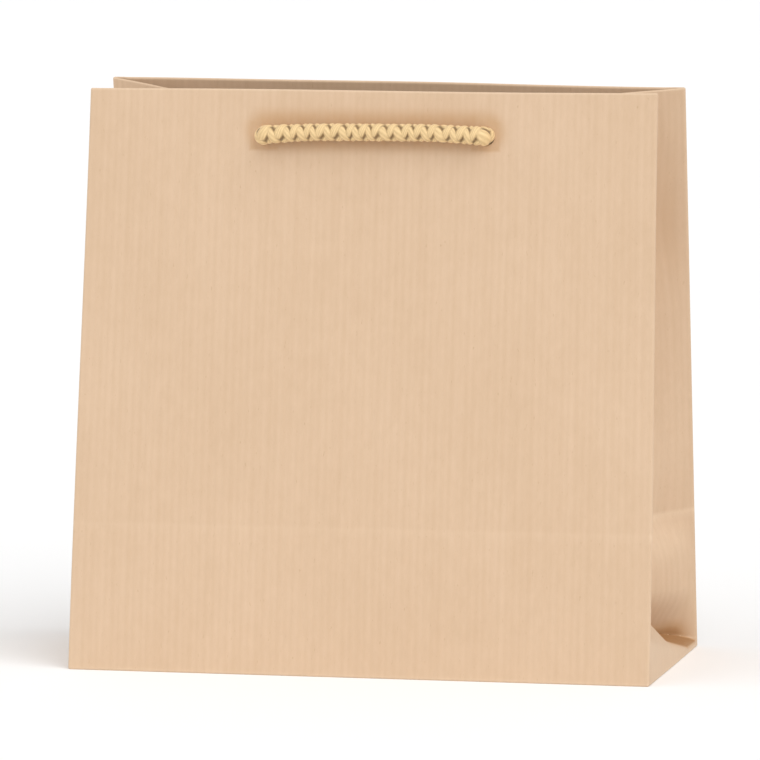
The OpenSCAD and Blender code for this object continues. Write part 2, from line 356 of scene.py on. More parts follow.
def spline(points, step):
    """A smooth line through the points, with points step apart."""
    p = np.asarray(points, float)
    p = np.vstack([2 * p[0] - p[1], p, 2 * p[-1] - p[-2]])
    out = []
    for i in range(1, len(p) - 2):
        # Centripetal spacing, which doesn't overshoot where control points lie close together
        t = np.cumsum([0] + [max(np.linalg.norm(p[k + 1] - p[k]), 1e-6) ** 0.5 for k in range(i - 1, i + 2)])
        u = np.linspace(t[1], t[2], 40, endpoint=False)[:, None]
        a1 = (t[1] - u) / (t[1] - t[0]) * p[i - 1] + (u - t[0]) / (t[1] - t[0]) * p[i]
        a2 = (t[2] - u) / (t[2] - t[1]) * p[i] + (u - t[1]) / (t[2] - t[1]) * p[i + 1]
        a3 = (t[3] - u) / (t[3] - t[2]) * p[i + 1] + (u - t[2]) / (t[3] - t[2]) * p[i + 2]
        b1 = (t[2] - u) / (t[2] - t[0]) * a1 + (u - t[0]) / (t[2] - t[0]) * a2
        b2 = (t[3] - u) / (t[3] - t[1]) * a2 + (u - t[1]) / (t[3] - t[1]) * a3
        out.append((t[2] - u) / (t[2] - t[1]) * b1 + (u - t[1]) / (t[2] - t[1]) * b2)
    line = np.vstack(out + [p[-2][None]])
    along = np.r_[0, np.cumsum(np.linalg.norm(np.diff(line, axis=0), axis=1))]
    n = max(2, int(round(along[-1] / step)))
    at = np.linspace(0, along[-1], n + 1)
    return np.stack([np.interp(at, along, line[:, k]) for k in range(3)], axis=1), at


PITCH = 10.5        # one full turn of a strand round the braid
STRANDS = 4         # half of them wound each way
STRAND_R = 1.35     # half a strand's thickness
STRAND_W = 3.55     # half its width round the cord, at WIDTH_AT from the cord's middle
STRAND_AT = 1.75    # how far a strand's middle is from the cord's middle
WIDTH_AT = STRAND_AT + 0.6
WEAVE = 0.30        # how far a strand rises and dips as it crosses
CORE_R = 2.60       # bottom of the grooves
CORD_SHARP = 70     # degrees from which an edge looks sharp


def braid(along, angle, size):
    """A round braid on the grid along x angle: its radius, depth of the grooves and strand coordinates."""
    s, th = np.meshgrid(along, angle, indexing="ij")
    # No braid is quite even along its length
    jitter = 0.35 * np.sin(s * 0.31 + 1.3) + 0.22 * np.sin(s * 0.83 + 0.4)
    phase = 2 * np.pi * (s + jitter) / PITCH
    best = np.full(s.shape, CORE_R)
    fibre = np.zeros(s.shape + (3,))
    for k in range(STRANDS):
        hand = 1 if k < STRANDS / 2 else -1
        centre = hand * phase + np.pi * (k % 2) + np.pi / 4
        rise = hand * WEAVE * np.cos(2 * phase)
        off = (th - centre + np.pi) % (2 * np.pi) - np.pi
        across = off * WIDTH_AT / STRAND_W
        inside = np.clip(1 - across ** 2, 0, None)
        radius = STRAND_AT + rise + STRAND_R * np.sqrt(inside) * (1 + 0.04 * np.sin(0.7 * s + 2.1 * k))
        radius = np.where(inside > 0, radius, 0)
        hit = radius > best
        best = np.where(hit, radius, best)
        fibre[hit] = np.stack([across[hit], s[hit] * MM, np.full(hit.sum(), k * 1.0)], axis=-1)
    widest = STRAND_AT + WEAVE + STRAND_R
    groove = np.clip((widest - best) / (widest - CORE_R), 0, 1)
    return best / widest * size[:, None], groove, fibre


def frames(line, first):
    """Two directions across the line at each point, carried along it without twisting."""
    tangent = unit(np.gradient(line, axis=0))
    across = [unit(first - np.dot(first, tangent[0]) * tangent[0])]
    for t in tangent[1:]:
        across.append(unit(across[-1] - np.dot(across[-1], t) * t))
    across = np.array(across)
    return across, np.cross(tangent, across)


def cord_tube(name, line, along, first, radius, sides=56, cut_end=False, hand=1):
    """A braided tube round the line. With cut_end its last end bulges as a cut and sealed cord does.
    hand is -1 where the line runs against the braid, so that two halves meet in one pattern."""
    across, over = frames(line, first)
    over = over * hand
    angle = np.linspace(0, 2 * np.pi, sides, endpoint=False)
    size = np.broadcast_to(np.asarray(radius, float), (len(line),)).copy()
    r, groove, fibre = braid(along, angle, size)
    ring = (line[:, None] + r[..., None] * (np.cos(angle)[None, :, None] * across[:, None]
                                            + np.sin(angle)[None, :, None] * over[:, None]))
    points, grooves, fibres = [ring.reshape(-1, 3)], [groove.ravel()], [fibre.reshape(-1, 3)]
    n = len(line)
    around = [(j, (j + 1) % sides) for j in range(sides)]
    faces = [(i * sides + j, i * sides + k, (i + 1) * sides + k, (i + 1) * sides + j)
             for i in range(n - 1) for j, k in around]
    # Closed ends, shrinking in rings to the middle
    count = n * sides
    for end in (0, -1):
        previous = 0 if end == 0 else (n - 1) * sides
        base = ring[end]
        centre = base.mean(axis=0)
        outward = unit(line[0] - line[1]) if end == 0 else unit(line[-1] - line[-2])
        bulge = outward * (size[end] if cut_end and end == -1 else 0.0)
        for share in (0.75, 0.4):
            points.append(centre + (base - centre) * share + bulge * 0.35 * (1 - share))
            grooves.append(groove[end] * share + 0.5 * (1 - share))
            fibres.append(fibre[end])
            for j, k in around:
                quad = (previous + j, count + j, count + k, previous + k)
                faces.append(quad if end == 0 else quad[::-1])
            previous = count
            count += sides
        points.append((centre + bulge * 0.3)[None])
        grooves.append(np.array([0.6]))
        fibres.append(np.zeros((1, 3)))
        for j, k in around:
            tri = (previous + j, count, previous + k)
            faces.append(tri if end == 0 else tri[::-1])
        count += 1
    if hand < 0:
        faces = [f[::-1] for f in faces]
    ob = add_mesh(name, np.vstack(points), faces, [CORD],
                  {"groove": np.concatenate(grooves), "strand": np.vstack(fibres)}, CORD_SHARP)
    return ob


KNOT_UNIT = 1.95            # size of the knot's turns
BAR_STEP, TAIL_STEP, KNOT_STEP = 0.28, 0.3, 0.35    # between the rings of each tube


def knot_line():
    """An overhand knot pulled tight, its ends on the Z axis: down the middle, once round, and down again."""
    turn = np.linspace(0, 4 * np.pi, 49)
    up = np.where(turn < np.pi, np.cos(turn), np.where(turn < 3 * np.pi, -np.cos((turn - np.pi) / 2),
                                                       np.cos(turn - 3 * np.pi)))
    belt = np.clip((turn - np.pi) / (2 * np.pi), 0, 1)
    away = 0.95 + 1.75 * np.sin(np.pi * belt) ** 0.7
    core = np.stack([away * np.cos(turn), away * np.sin(turn), 2.15 * up], axis=1)
    return core * KNOT_UNIT


def knot_route(end):
    """The cord's way through a knot, from just inside the tail above it to the cut end below it."""
    core = knot_line()
    core[:, 0] *= -end
    neck = np.array([[0, 0, 9.0], [0, 0, 6.6]])
    lead_in = np.array([[0.35 * core[0, 0], core[0, 1] * 0.5 - 0.6, 5.6]])
    lead_out = np.array([[0.35 * core[-1, 0], core[-1, 1] * 0.5 + 0.6, -5.6]])
    out = np.array([[0, 0, -7.6], [0, 0, -KNOT_H / 2 - 7.5]])
    return np.vstack([neck, lead_in, core, lead_out, out])


def add_half(side, end, line, at):
    """One half of a handle, from the middle of the bar to behind its hole, with its hanging length and knot.
    at is how far along the braid each point of the line is."""
    word = "front" if side == FRONT else "back"
    which = "left" if end < 0 else "right"
    outward = np.array([0.0, side * COS, SIN])
    hole = hole_point(side, end, (0, 0, 0))
    # The cord swells where the hole squeezes it
    from_hole = np.linalg.norm(line - hole, axis=1)
    radius = CORD_D / 2 * (1 + 0.05 * hump(from_hole, 7, 5) + 0.10 * hump(from_hole, 1.5, 2.5))
    bar = cord_tube(f"{word}_handle_{which}_half", line, at, outward, radius, hand=end)
    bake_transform(bar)
    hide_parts(f"{word}_handle_cord")

    # The tail is a little slimmer than the bar, and slimmest where it enters the knot
    low = tail_route(side, end)
    line2, at2 = spline(low, TAIL_STEP)
    grip = 1 - 0.12 * smoothstep((at2 - at2[-1] + 10) / 10)
    tail = cord_tube(f"{word}_{which}_hanging_cord", line2, at[-1] + end * at2, outward,
                     CORD_D / 2 * 0.985 * grip, hand=end)
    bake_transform(tail)
    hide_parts(f"{word}_{which}_tail")

    # In the knot the cord is squeezed, and it swells again towards its cut end
    line3, at3 = spline(knot_route(end) + line2[-1] - [0, 0, KNOT_H / 2], KNOT_STEP)
    squeezed = 1 - 0.28 * smoothstep(at3 / 8) + 0.22 * smoothstep((at3 - at3[-1] + 9) / 7)
    knot = cord_tube(f"{word}_{which}_overhand_knot", line3, at[-1] + end * at2[-1] + at3, outward,
                     CORD_D / 2 * squeezed, sides=40, cut_end=True)
    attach(knot, f"{word}_tails")
    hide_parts(f"{word}_{which}_knot")


def add_handle(side):
    """A handle as two halves. The braid's turn is carried from the middle of the bar both ways."""
    line, along = spline(half_route(side, -1) + half_route(side, 1)[::-1], BAR_STEP)
    half = along[-1] / 2
    at = along - half
    middle = int(np.argmin(np.abs(at)))
    add_half(side, -1, line[:middle + 1][::-1], at[:middle + 1][::-1])
    add_half(side, 1, line[middle:], at[middle:])


for wall_side in (FRONT, BACK):
    add_handle(wall_side)


# ---- The folded sheet ----
CORNER_R = 0.8          # radius of the long folds, to the middle of the paper
CORNER_TURN = 2.6       # how far a long fold turns, in radians, for the ribs' spacing
BOTTOM_R = 0.55         # radius of the fold along the bottom
TOP_R = (PAPER + CARD) / 2
TURN_V = WALL_H - PAPER / 2 - TOP_R    # where the top edge starts to turn
HALF_T = PAPER / 2
GUSSET_L = 49.0         # paper from a long fold to the centre crease, for the ribs' spacing
HEM_GAP = 0.44          # between the wall's paper and the hem's, where no card lies
INNER_LAYER = 0.05      # keeps the fibres of a sheet's two faces apart
PAPER_SHARP = 50        # degrees from which an edge of the paper looks sharp


def grid_values(spans):
    """Values from spans of (start, stop, step), each once."""
    out = [spans[0][0]]
    for start, stop, step in spans:
        n = int(round((stop - start) / step))
        out += [start + (stop - start) * (i + 1) / n for i in range(n)]
    return np.array(out)


# Columns across a wall, with a line of them through the middle of each hole
WALL_END = HALF_W - HALF_T - CORNER_R
WALL_A = grid_values([(-WALL_END, -104.5, 0.75), (-104.5, 105.5, 1.5), (105.5, WALL_END, 0.7)])
# Then round the long fold, and along the gusset as shares of the way to its centre crease
ARC_N = 10
ARC_A = WALL_END + CORNER_R * np.linspace(0, 1, ARC_N + 1)[1:] * CORNER_TURN
GUSSET_G = grid_values([(0, 0.06, 0.015), (0.06, 0.88, 0.0273), (0.88, 1.0, 0.012)])
BEYOND_A = np.concatenate([ARC_A, ARC_A[-1] + GUSSET_G[1:] * GUSSET_L])
COLS = np.concatenate([-BEYOND_A[::-1], WALL_A, BEYOND_A])
# Rows up the wall, down the hem, and round the folds at the bottom and the top, which are angles in radians
OUTER_V = grid_values([(BOTTOM_R + HALF_T, 2, 0.425), (2, 29, 0.75), (29, 215, 1.5), (215, TURN_V, 0.25)])
HEM_V_ROWS = OUTER_V[OUTER_V >= HEM_V - 0.01][::-1]
BOTTOM_TURNS = np.linspace(0, math.pi / 2, 6)[1:][::-1]
TOP_TURNS = np.linspace(0, math.pi, 9)[1:-1]
FIRST_OUTER = len(BOTTOM_TURNS)
FIRST_HEM = FIRST_OUTER + len(OUTER_V) + len(TOP_TURNS)
# How far up the flat sheet each row lies
ROWS = np.concatenate([np.zeros(len(BOTTOM_TURNS)), OUTER_V, WALL_H + np.linspace(0.2, 1.8, len(TOP_TURNS)),
                       2 * WALL_H - HEM_V_ROWS + 2])


def wall_wave(side, a, u):
    """How far the wall bows outwards at a, u: the card holds the top flat, and the folds hold the edges."""
    hold = np.cos(np.clip(a / HALF_W, -1, 1) * np.pi / 2) ** 0.7 * smoothstep((HEM_V + 4 - u) / 60) \
        * smoothstep(u / 45)
    if side == FRONT:
        bow = 0.55 + 0.45 * np.sin(a / 37 + 0.6) * np.sin(u / 41 + 0.2) + 0.3 * np.sin(a / 19 - u / 33 + 1.9)
    else:
        bow = 0.35 + 0.5 * np.sin(a / 33 + 2.6) * np.sin(u / 38 + 1.2) + 0.3 * np.sin(a / 21 + u / 29 + 0.4)
    # The crease that folding the bag flat has left across it
    crease = -0.16 * hump(u, CREASE_V + 0.6 * np.sin(a / 60), 1.5) * (1 - hump(np.abs(a), HALF_W, 6))
    return bow * hold + crease


def wall_point(side, a, u, inwards):
    """A point of a wall's sheet, inwards from its outer face."""
    a, u, inwards = np.broadcast_arrays(a, u, inwards)
    d = inwards - wall_wave(side, a, u)
    lift = top_lift(side, a, u)
    x = a - np.sign(a) * top_pull(side, u, np.sign(a)) * smoothstep((np.abs(a) - 55) / (HALF_W - 55))
    u = u + lift
    return np.stack([x, side * (HALF_D - u * SIN - d * COS), u * COS - d * SIN], axis=-1)


def top_pull(side, u, end):
    """How far a wall's corner is drawn in by the folds beside it. The back wall's right one stands out."""
    if side == FRONT:
        return 2.4 * smoothstep(u / 240) + 0 * end
    return np.where(end > 0, -1.2, 0.0) * u / WALL_H


def top_lift(side, a, u):
    """The mouth isn't quite level: both walls stand higher towards the left, and the back one bows up."""
    if side == FRONT:
        height = 0.4 + 1.1 * smoothstep((70 - a) / 140)
    else:
        height = 0.6 + 3.55 * smoothstep((60 - a) / 170) + 1.45 * hump(a, 22, 60)
    return height * smoothstep((u - HOLE_V - 5) / 12)


# ---- The gussets ----
DENT = 6.5              # how far the paper leans in at the level crease
DENT_ABOVE = 24.0       # it fades upwards over this
DENT_BELOW = 15.0       # and is gone this far below
POCKET = 7.0            # how far it leans in above the foot band
POCKET_TOP = 24.0       # height where that begins
SINK = 3.4              # how far it sinks in below the stiff hem
SINK_V = 166.0
SWELL = 1.3             # how far it stands out along the hem
CREASE_SOFT = 1.1       # rounding of the centre crease
BAND_H = 17.5           # height of the foot band at the front
BAND_FALL = 0.18        # its fall towards the back
BAND_MIN = 2.9          # clears the base board


def band_height(y):
    """Height of the upright band at the foot of a gusset, which runs down towards the back."""
    return np.maximum(BAND_H - BAND_FALL * (y + HALF_D), BAND_MIN)


def soft_min(a, b, width):
    h = np.clip(0.5 + 0.5 * (b - a) / width, 0, 1)
    return b * (1 - h) + a * h - width * h * (1 - h)


def soft_ramp(x, width):
    """0 below 0 and x above it, rounded over the width."""
    return np.logaddexp(0, x / width) * width


def gusset_inset(u):
    """How far the centre crease lies inwards from the bag's side, u up the paper."""
    away = (HALF_D - u * SIN) / COS
    return np.sqrt(np.maximum(HALF_D ** 2 - away ** 2, 0))


K_TRI = gusset_inset(CREASE_V) / (HALF_D - CREASE_V * SIN)      # slope of the triangle below the level crease


def gusset_depth(side, q, u, z):
    """Inset of a gusset at q from the centre plane (q at least 0), on the side of the given wall."""
    edge = HALF_D - u * SIN
    y = side * q
    k = np.where(u >= CREASE_V, gusset_inset(np.maximum(u, CREASE_V)) / edge, K_TRI)
    upper = k * (edge - (np.sqrt(q ** 2 + CREASE_SOFT ** 2) - CREASE_SOFT))
    # The paper gives at the level crease: it leans in above the crease and swells out below it
    over = u - CREASE_V
    fade = np.where(over > 0, np.exp(-over / DENT_ABOVE), soft_ramp(over + DENT_BELOW, 2.5) / DENT_BELOW)
    dent = DENT * fade * smoothstep((edge - q) / 12)
    # Just above the band at the foot it leans in again, into a pocket that is deepest towards the back
    pocket = POCKET * smoothstep((POCKET_TOP - z) / 18) * smoothstep((edge - q) / 9) \
        * smoothstep((y + 15) / 35)
    # The stiff hem keeps the gusset nearly flat at the top, and below it the paper sinks in
    sink = SINK * hump(u, SINK_V, 18) * smoothstep((edge - q) / 7)
    swell = SWELL * smoothstep((u - 188) / 14) * smoothstep((edge - q) / 5)
    upper = upper + dent + pocket + (sink - swell)
    # The foot band stands nearly upright, and turns into the pocket more sharply towards the back
    rise = soft_ramp(z - band_height(y), 0.9 - 0.45 * smoothstep(y / 30))
    steep = 0.8 + 4.5 * smoothstep((y + 10) / 34)
    lower = 0.13 * z + steep * rise
    return soft_min(upper, lower, 0.3 + (0.085 - 0.05 * smoothstep(y / 40)) * z)


def gusset_columns(side, u):
    """One row of the sheet from the wall's end to the +X side's centre crease: its (x, q) and its heights."""
    edge = HALF_D - u * SIN
    drop = edge * math.tan(LEAN) * float(smoothstep(u / CREASE_V))

    def z_at(q):
        return u * COS - (1 - q / edge) * drop

    # The long fold turns until it meets the gusset's slope
    probe = edge - np.array([0.5, 3.0])
    d = gusset_depth(side, probe, u, z_at(probe))
    slope = max((d[1] - d[0]) / 2.5, 0.02)
    phi = np.linspace(0, math.pi - math.atan(1 / slope), ARC_N + 1)[1:]
    cq = edge - HALF_T - CORNER_R
    arc = np.stack([WALL_END + CORNER_R * np.sin(phi), cq + CORNER_R * np.cos(phi)], axis=1)
    end = arc[-1]
    share = GUSSET_G[1:]
    q = end[1] * (1 - share)
    depth = gusset_depth(side, q, u, z_at(q))
    start = gusset_depth(side, end[1], u, z_at(end[1]))
    x = end[0] - (depth - start) - share * (start - (HALF_W - end[0]))
    row = np.vstack([arc, np.stack([x, q], axis=1)])
    return row, z_at(np.minimum(row[:, 1], edge))


def sheet_row(side, u):
    """Middle of the paper along one row of the outer sheet, u up the wall, between the centre creases."""
    row, z = gusset_columns(side, u)
    share = row[:, 1] / (HALF_D - u * SIN)

    def gusset(end):
        lift = top_lift(side, end * HALF_W + 0 * z, u) * smoothstep(share)
        x = end * (row[:, 0] - top_pull(side, u, end) * share)
        return np.stack([x, side * (row[:, 1] - lift * SIN), z + lift * COS], axis=1)

    return np.vstack([gusset(-1)[::-1], wall_point(side, WALL_A, u, HALF_T), gusset(1)])


def inward_normals(side, grid, row):
    """Normals of a grid of points, which point into the bag at the middle of the given row."""
    n = unit(np.cross(np.gradient(grid, axis=1), np.gradient(grid, axis=0)))
    n = n * (-side * np.sign(n[row, len(COLS) // 2, 1]))
    # At the centre crease the sheet turns square to the centre plane
    n[:, [0, -1], 1] = 0
    return unit(n)


def folded_grid(side):
    """Middle of the paper, row by row: the fold into the base, up the wall, over the top and down the hem."""
    outer = np.array([sheet_row(side, u) for u in OUTER_V])
    inward = inward_normals(side, outer, len(outer) // 2)
    down = unit(outer[0] - outer[1])
    under = [outer[0] + inward[0] * BOTTOM_R * (1 - math.cos(t)) + down * BOTTOM_R * math.sin(t)
             for t in BOTTOM_TURNS]
    # Between the wall and its hem lies the card. Beyond its ends, and in the gussets, they lie together
    past_card = np.where(np.abs(COLS) <= WALL_END, np.abs(outer[-1][:, 0]) - CARD_HALF_W - 0.3, 9.0)
    gap = 2 * TOP_R + (HEM_GAP - 2 * TOP_R) * smoothstep(past_card / 1.6)
    upwards = unit(outer[-1] - outer[-2])
    over = [outer[-1] + inward[-1] * (gap / 2 * (1 - math.cos(t)))[:, None] + upwards * TOP_R * math.sin(t)
            for t in TOP_TURNS]
    # Below the stiff top the hem springs a little way off the wall
    spring = 0.5 * smoothstep((HEM_V + 12 - HEM_V_ROWS) / 12)[:, None] \
        * np.where(np.abs(COLS) < CARD_HALF_W, 1, 0.2)[None]
    beside = [int(np.argmin(np.abs(OUTER_V - v))) for v in HEM_V_ROWS]
    hem = outer[beside] + inward[beside] * (gap[None] + spring)[..., None]
    return np.concatenate([np.array(under), outer, np.array(over), hem])


def wear_highlight_and_shade(grid):
    """How much paler the sheet is from rubbing and painted highlight, and how much darker from painted shade,
    at each of its points.
    """
    u, a = ROWS[:, None], np.abs(COLS)[None]
    corner = hump(a, WALL_END + (ARC_A[-1] - WALL_END) / 2, 0.7)
    in_gusset = smoothstep((a - ARC_A[-1]) / 5)
    above_band = grid[..., 2] - band_height(grid[..., 1])
    toward_back = smoothstep((grid[..., 1] - 2) / 28)
    wear = 0.14 * corner * (0.6 + 0.4 * np.sin(u / 9.0)) * (1.2 - 0.8 * smoothstep(u / 150))
    wear = wear + 0.35 * hump(u, WALL_H + 0.7, 0.9) + 0.3 * hump(u, 0.3, 0.7)
    wear = wear + (0.11 + 0.35 * (a > WALL_END)) * hump(u, CREASE_V, 0.9)
    # In a gusset, painted highlight: paler below the level crease, above it and on the foot band, where those
    # faces catch the light
    painted_highlight = 0.24 * hump(u, 45, 8) + 0.15 * hump(u, 80, 26) + 0.20 * smoothstep(-above_band / 3)
    wear = wear + painted_highlight * in_gusset
    # Painted shade, browner round the handle's bar, for the cord's contact shadow
    from_bar = np.hypot(np.maximum(np.abs(COLS - HOLE_SHIFT) - HOLE_X, 0)[None], u - HOLE_V - 1.8)
    painted_shade = smoothstep((9.5 - from_bar) / 5.5)
    # and painted shade in the gussets' deep folds: the pocket at the foot, and the fold below the hem
    pocket = smoothstep((above_band + 1.5 * toward_back) / 1.6) * smoothstep((10 - above_band) / 8)
    painted_shade = painted_shade + (1.9 * pocket * toward_back + 0.36 * hump(u, 168, 24)) * in_gusset
    return wear, painted_shade


def rim_of(rows, columns):
    """Numbers of the points round the edge of a grid, in order."""
    last = rows * columns - 1
    return [c for c in range(columns)] + [r * columns + columns - 1 for r in range(1, rows)] \
        + [last - c for c in range(1, columns)] + [r * columns for r in range(rows - 2, 0, -1)]


class ShellMesh:
    """The points, attributes and faces of a shell, as they are added."""

    def __init__(self, flip):
        self.flip = flip
        self.count = 0
        self.points, self.paper, self.wear, self.painted_shade = [], [], [], []
        self.faces, self.material_of = [], []

    def add_points(self, points, paper, wear, painted_shade):
        """Adds the points and gives back their numbers."""
        self.points.append(points)
        self.paper.append(paper)
        self.wear.append(wear)
        self.painted_shade.append(painted_shade)
        self.count += len(points)
        return range(self.count - len(points), self.count)

    def add_face(self, numbers, inner, material):
        numbers = list(numbers)
        self.faces.append(numbers if inner == self.flip else numbers[::-1])
        self.material_of.append(material)


HOLE_CELLS = 4          # cells left out on each side of a hole's middle
RING_SHARES = (0.35, 0.65, 0.85, 0.95, 1.0)     # rings from that gap's edge to the hole's
PUNCH = 0.10            # how far the punch presses the rim in


def find_holes():
    """Layer, row and column of the middle of each hole through the outer sheet and the hem, and its end."""
    found = []
    for layer, row in (("outer", FIRST_OUTER + int(np.argmin(np.abs(OUTER_V - HOLE_V)))),
                       ("hem", FIRST_HEM + int(np.argmin(np.abs(HEM_V_ROWS - HOLE_V))))):
        for end in (-1, 1):
            found.append((layer, row, int(np.argmin(np.abs(COLS - HOLE_SHIFT - end * HOLE_X))), end))
    return found


def close_hole(mesh, side, grid, inward, hole):
    """Fills the gap round a hole with rings that close on the hole's edge."""
    layer, row, col, end = hole
    outer = layer == "outer"
    h = HOLE_CELLS
    square = [(row - h, col + k) for k in range(-h, h)] + [(row + k, col + h) for k in range(-h, h)] \
        + [(row + h, col + k) for k in range(h, -h, -1)] + [(row + k, col - h) for k in range(h, -h, -1)]
    base = np.array([grid[r, c] for r, c in square])
    normal = unit(np.mean([inward[r, c] for r, c in square], axis=0))
    middle = wall_point(side, np.array(HOLE_SHIFT + end * HOLE_X), np.array(HOLE_V),
                        np.array(HALF_T if outer else HALF_T + 2 * TOP_R))
    rightwards, upwards = np.array([1.0, 0, 0]), np.array([0, -side * SIN, COS])
    angle = np.arctan2((base - middle) @ upwards, (base - middle) @ rightwards)
    circle = middle + HOLE_R * (np.cos(angle)[:, None] * rightwards + np.sin(angle)[:, None] * upwards)
    pressed = np.array([0, -side * COS, -SIN]) * (1 if outer else -1)
    sheet_u = HOLE_V if outer else 2 * WALL_H - HOLE_V
    n = len(square)
    size = grid.shape[0] * grid.shape[1]
    previous = [[r * grid.shape[1] + c + first for r, c in square] for first in (0, size)]
    for share in RING_SHARES:
        ring = base * (1 - share) + circle * share
        paper = np.stack([ring[:, 0], sheet_u + (ring - middle) @ upwards, np.zeros(n)], axis=1) * MM
        now = []
        for skin, off in ((0, -HALF_T), (1, HALF_T)):
            # Painted shade on the rings' outer face, next to the cord
            painted_shade_here = 1.0 if outer and skin == 0 else 0.0
            now.append(mesh.add_points(ring + normal * off + pressed * PUNCH * share ** 6, paper,
                                       np.full(n, 0.5 * share ** 4), np.full(n, painted_shade_here)))
        for i in range(n):
            k = (i + 1) % n
            for skin in (0, 1):
                outside, inside = previous[skin], now[skin]
                mesh.add_face((outside[i], inside[i], inside[k], outside[k]), skin == 1, skin)
        previous = now
    for i in range(n):
        k = (i + 1) % n
        mesh.add_face((previous[0][i], previous[1][i], previous[1][k], previous[0][k]), False, 0)


def make_shell(side):
    """One half of the bag's paper: a wall with its turned top and hem, and its halves of the gussets."""
    word = "front" if side == FRONT else "back"
    grid = folded_grid(side)
    inward = inward_normals(side, grid, FIRST_OUTER + len(OUTER_V) // 2)
    wear, painted_shade = wear_highlight_and_shade(grid)
    n_rows, n_cols = grid.shape[:2]
    size = n_rows * n_cols
    paper = np.stack(np.broadcast_arrays(COLS[None] * MM, ROWS[:, None] * MM, 0.0), axis=-1).reshape(-1, 3)
    mesh = ShellMesh(flip=side == FRONT)
    # The face that shows, and the hidden one
    mesh.add_points((grid - inward * HALF_T).reshape(-1, 3), paper, wear.ravel(), painted_shade.ravel())
    mesh.add_points((grid + inward * HALF_T).reshape(-1, 3), paper + [0, 0, INNER_LAYER], wear.ravel(),
                    0 * painted_shade.ravel())
    holes = find_holes()
    skip = {(row + i, col + j) for _, row, col, _ in holes
            for i in range(-HOLE_CELLS, HOLE_CELLS) for j in range(-HOLE_CELLS, HOLE_CELLS)}
    for r in range(n_rows - 1):
        for c in range(n_cols - 1):
            if (r, c) in skip:
                continue
            quad = (r * n_cols + c, (r + 1) * n_cols + c, (r + 1) * n_cols + c + 1, r * n_cols + c + 1)
            mesh.add_face(quad, False, 0)
            mesh.add_face([q + size for q in quad], True, 1)
    rim = rim_of(n_rows, n_cols)
    for a, b in zip(rim, rim[1:] + rim[:1]):
        mesh.add_face((a, a + size, b + size, b), True, 0)
    for hole in holes:
        close_hole(mesh, side, grid, inward, hole)
    points = np.vstack(mesh.points)
    points[:, 2] = np.maximum(points[:, 2], 0.0)
    attributes = {"paper": np.vstack(mesh.paper), "wear": np.concatenate(mesh.wear),
                  "painted_shade": np.concatenate(mesh.painted_shade)}
    shell = add_mesh(f"{word}_shell", points, mesh.faces, [KRAFT, KRAFT_IN], attributes, PAPER_SHARP,
                     mesh.material_of)
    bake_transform(shell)
    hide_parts(f"{word}_panel", f"{word}_hem",
                *[f"{end}_{word}_{kind}" for end in ("left", "right")
                  for kind in ("gusset", "gusset_hem", "corner_gusset")],
                "left_lower_gusset", "right_lower_gusset")


make_shell(FRONT)
make_shell(BACK)


def add_sheet(name, middle, shown, across, upward, materials, wear=None):
    """A thin closed sheet of paper from a grid of its middle points. shown is the way its first face looks."""
    rows, columns = middle.shape[:2]
    n = unit(np.cross(np.gradient(middle, axis=1), np.gradient(middle, axis=0)))
    if np.sum(n[rows // 2, columns // 2] * shown) < 0:
        n = -n
    count = rows * columns
    points = np.vstack([(middle + n * HALF_T).reshape(-1, 3), (middle - n * HALF_T).reshape(-1, 3)])
    quads = []
    for r in range(rows - 1):
        for c in range(columns - 1):
            a = r * columns + c
            quads.append((a, a + 1, a + columns + 1, a + columns))
    # Which way round the quads must go, so that they look the same way as n
    p = points[list(quads[0])]
    turned = np.dot(np.cross(p[1] - p[0], p[2] - p[0]), n[0, 0]) < 0
    faces, material_of = [], []
    for q in quads:
        faces += [q[::-1] if turned else q, [k + count for k in (q if turned else q[::-1])]]
        material_of += [0, 1]
    rim = rim_of(rows, columns)
    for a, b in zip(rim, rim[1:] + rim[:1]):
        q = (a, a + count, b + count, b)
        faces.append(q[::-1] if turned else q)
        material_of.append(0)
    paper = np.stack([np.broadcast_to(across, (rows, columns)), np.broadcast_to(upward, (rows, columns)),
                      np.zeros((rows, columns))], axis=-1).reshape(-1, 3) * MM
    wear = np.zeros(count) if wear is None else wear.ravel()
    attributes = {"paper": np.vstack([paper, paper + [0, 0, INNER_LAYER]]),
                  "wear": np.concatenate([wear, wear])}
    return add_mesh(name, points, faces, materials, attributes, PAPER_SHARP, material_of)


# ---- The base flaps and the seam ----
FLAP_TAPER = 14.0       # how much a flap narrows at each end
FLAP_OVERLAP = 22.0     # of the front flap over the back one
FLAP_ROUND = 3.0        # cut of its free corners
SIDE_FLAP = 46.0
FOLD_IN = HALF_T + BOTTOM_R     # where a flap starts, inwards from the outer face
FLAP_PATTERN = 400.0    # gives the flaps a stretch of paper of their own
FLAP_WEAR = 0.35        # along the free edge


def flap_grid(width, length, turn, rise):
    """A flap's middle points, and their own x and y on it. It narrows from its fold to its free edge.
    rise(s) is its height at s from the fold."""
    s = np.linspace(0, length, 31)[:, None]
    t = np.linspace(-1, 1, 61)[None]
    half = width / 2 - FOLD_IN - FLAP_TAPER * s / length
    # Its free corners are cut round
    into = np.clip((s - length + FLAP_ROUND) / FLAP_ROUND, 0, 1)
    half = half - FLAP_ROUND * (1 - np.sqrt(1 - into ** 2))
    x, y = t * half, s + 0 * t
    z = rise(s) + 0 * t
    c, n = math.cos(turn), math.sin(turn)
    return np.stack([c * x - n * y, n * x + c * y, z], axis=-1), x, y


